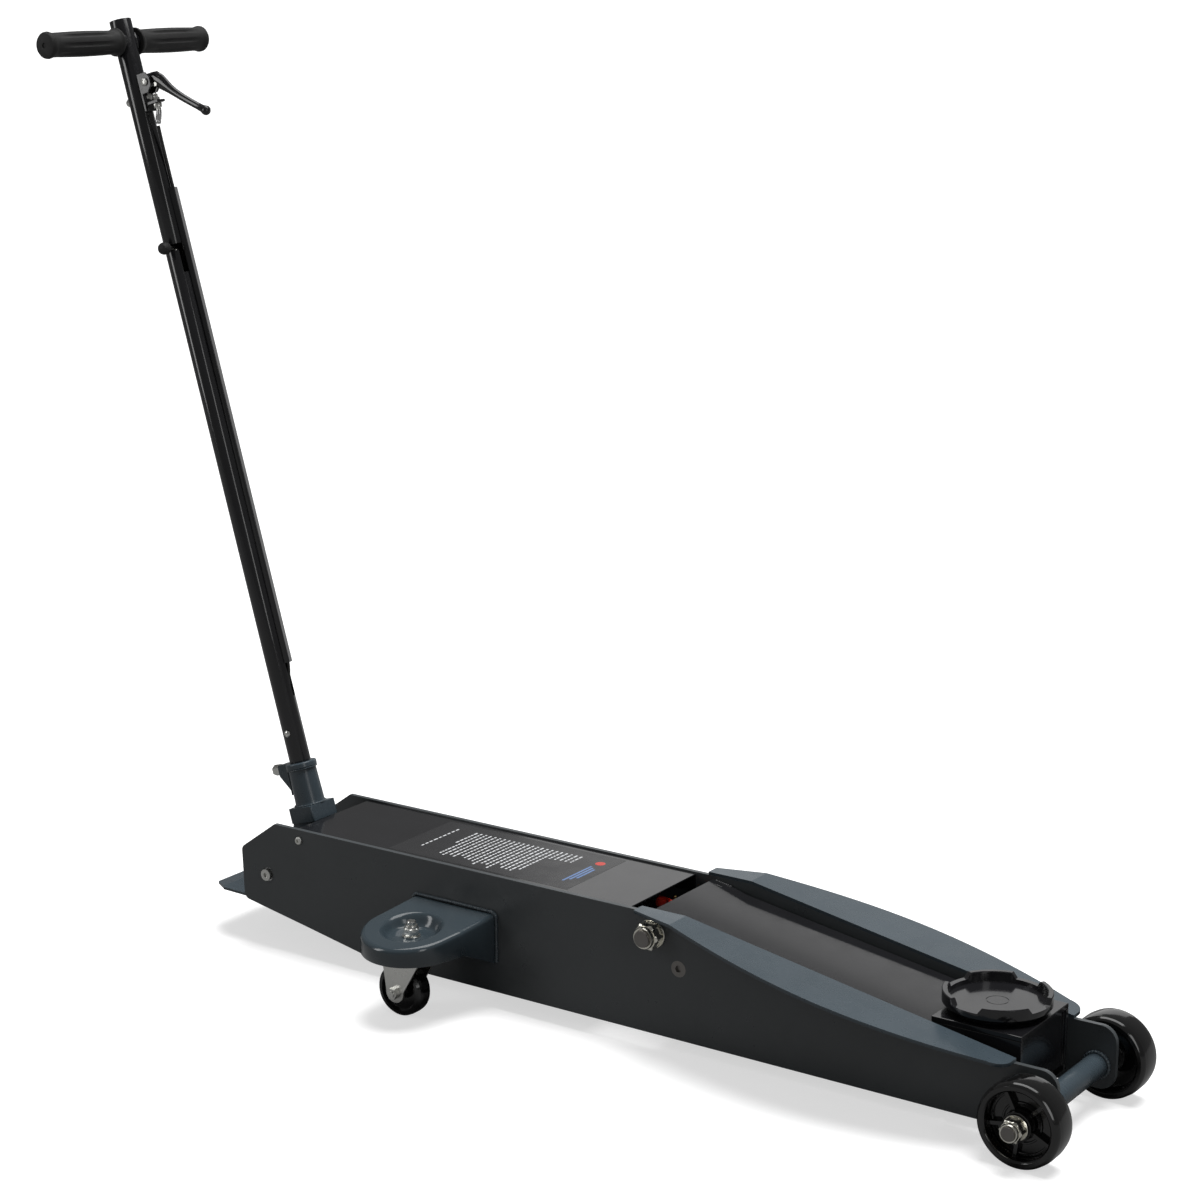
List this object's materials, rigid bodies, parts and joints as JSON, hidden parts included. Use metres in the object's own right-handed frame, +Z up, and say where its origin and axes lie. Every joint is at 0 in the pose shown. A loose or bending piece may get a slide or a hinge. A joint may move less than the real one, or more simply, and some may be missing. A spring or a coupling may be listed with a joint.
{
  "type": "car jack",
  "caption": "Long-chassis hydraulic service jack with rolling chassis, swivelling casters, castellated saddle and upright pump handle.",
  "frame": {"origin": "centre of the bounding box's underside, on the floor", "axes": "+X towards the saddle, +Y to the jack's left side, +Z up"},
  "size_m": [1.4376, 0.43, 1.1816],
  "materials": {
    "chassis_paint": "semi-gloss anthracite paint",
    "gloss_black": "gloss black paint",
    "wheel_black": "gloss black paint on cast metal",
    "zinc": "zinc plated",
    "steel": "ground steel",
    "dark_bolt": "blackened steel",
    "cast_block": "dark painted casting",
    "red_plastic": "moulded",
    "brass": "plain brass",
    "rubber": "matt rubber",
    "cable_black": "smooth plastic sheath"
  },
  "bodies": {
    "chassis": {"side_plate_left": "chassis_paint", "side_plate_right": "chassis_paint", "top_flanges": "chassis_paint", "base_plate": "chassis_paint", "top_cover": "gloss_black", "cover_screws": "zinc", "cross_members": "chassis_paint", "front_axle_tube": "chassis_paint", "front_axle": "zinc", "front_axle_nuts": "zinc", "axle_spacers": "chassis_paint", "lift_pivot_shaft": "steel", "lift_pivot_nuts": "zinc", "radius_rod_bolts": "dark_bolt", "yoke_pivot_shaft": "steel", "yoke_pivot_screws": "zinc", "pump_block": "cast_block", "reservoir": "gloss_black", "ram_cylinder": "cast_block", "valve_lever": "zinc", "filler_shelf": "chassis_paint", "filler_cap": "red_plastic", "grease_nipple": "brass", "wing_bracket_left": "chassis_paint", "wing_bracket_right": "chassis_paint", "caster_kingpins": "zinc"},
    "lift_arm": {"arm_side_plates": "gloss_black", "arm_top_plate": "gloss_black", "arm_pivot_tube": "gloss_black", "ram_lugs": "gloss_black", "ram_pin": "steel", "carrier_pin": "steel"},
    "carrier": {"carrier_body": "gloss_black", "carrier_top_plate": "gloss_black", "rod_pins": "steel"},
    "saddle": {"saddle": "gloss_black"},
    "radius_rods": {"radius_rods": "gloss_black"},
    "ram": {"ram_rod": "steel", "ram_crosshead": "cast_block"},
    "pump_plunger": {"pump_plunger": "steel"},
    "handle": {"yoke": "chassis_paint", "clamp_bolt": "zinc", "handle_tube": "gloss_black", "t_bar": "gloss_black", "grip_left": "rubber", "grip_right": "rubber", "lever_bracket": "gloss_black", "bracket_bolts": "zinc", "cable_adjuster": "steel", "release_cable": "cable_black", "cable_channel": "gloss_black"},
    "release_lever": {"release_lever": "gloss_black"},
    "lock": {"lock_rod": "steel", "lock_knob": "rubber"},
    "front_wheel_left": {"front_wheel_left": "wheel_black"},
    "front_wheel_right": {"front_wheel_right": "wheel_black"},
    "caster_fork_left": {"caster_fork_left": "zinc"},
    "caster_fork_right": {"caster_fork_right": "zinc"},
    "caster_wheel_left": {"caster_wheel_left": "wheel_black"},
    "caster_wheel_right": {"caster_wheel_right": "wheel_black"}
  },
  "joints": [
    {"name": "lift", "type": "hinge", "parent": "chassis", "child": "lift_arm", "pos_m": [0.17076, 0, 0.1474], "axis": [0, -1, 0], "range_deg": [0, 55]},
    {"name": "levelling", "type": "hinge", "parent": "lift_arm", "child": "carrier", "pos_m": [0.57876, 0, 0.082], "axis": [0, -1, 0], "range_deg": [-55, 0]},
    {"name": "rods", "type": "hinge", "parent": "chassis", "child": "radius_rods", "pos_m": [0.20676, 0, 0.1107], "axis": [0, -1, 0], "range_deg": [0, 55]},
    {"name": "ram_stroke", "type": "slide", "parent": "chassis", "child": "ram", "axis": [1, 0, 0], "range_m": [0, 0.0647]},
    {"name": "pump_handle", "type": "hinge", "parent": "chassis", "child": "handle", "pos_m": [-0.42724, 0, 0.1013], "axis": [0, -1, 0], "range_deg": [-8, 59]},
    {"name": "plunger_stroke", "type": "slide", "parent": "chassis", "child": "pump_plunger", "axis": [1, 0, 0], "range_m": [-0.0042, 0.0305]},
    {"name": "release", "type": "hinge", "parent": "handle", "child": "release_lever", "pos_m": [-0.65728, 0, 1.10202], "axis": [0, -1, 0], "range_deg": [0, 20], "stiffness_Nm_per_rad": 1.5, "springref_deg": -11.46},
    {"name": "lock_turn", "type": "hinge", "parent": "handle", "child": "lock", "pos_m": [-0.5289, 0, 0.56251], "axis": [-0.2756, 0, 0.9613], "range_deg": [0, 57]},
    {"name": "saddle_swivel", "type": "hinge", "parent": "carrier", "child": "saddle", "pos_m": [0.57876, 0, 0.131], "axis": [0, 0, 1], "continuous": true},
    {"name": "front_wheel_spin_left", "type": "hinge", "parent": "chassis", "child": "front_wheel_left", "pos_m": [0.66876, 0.111, 0.05], "axis": [0, 1, 0], "continuous": true},
    {"name": "front_wheel_spin_right", "type": "hinge", "parent": "chassis", "child": "front_wheel_right", "pos_m": [0.66876, -0.111, 0.05], "axis": [0, 1, 0], "continuous": true},
    {"name": "caster_swivel_left", "type": "hinge", "parent": "chassis", "child": "caster_fork_left", "pos_m": [-0.13124, 0.153, 0.09], "axis": [0, 0, 1], "continuous": true},
    {"name": "caster_spin_left", "type": "hinge", "parent": "caster_fork_left", "child": "caster_wheel_left", "pos_m": [-0.14324, 0.153, 0.033], "axis": [0, 1, 0], "continuous": true},
    {"name": "caster_swivel_right", "type": "hinge", "parent": "chassis", "child": "caster_fork_right", "pos_m": [-0.13124, -0.153, 0.09], "axis": [0, 0, 1], "continuous": true},
    {"name": "caster_spin_right", "type": "hinge", "parent": "caster_fork_right", "child": "caster_wheel_right", "pos_m": [-0.14324, -0.153, 0.033], "axis": [0, 1, 0], "continuous": true}
  ],
  "couplings": [
    {"joint": "levelling", "follows": "lift", "ratio": -1},
    {"joint": "rods", "follows": "lift", "ratio": 1},
    {"joint": "ram_stroke", "follows": "lift", "m_per_rad": 0.067343},
    {"joint": "plunger_stroke", "follows": "pump_handle", "m_per_rad": 0.029576}
  ]
}
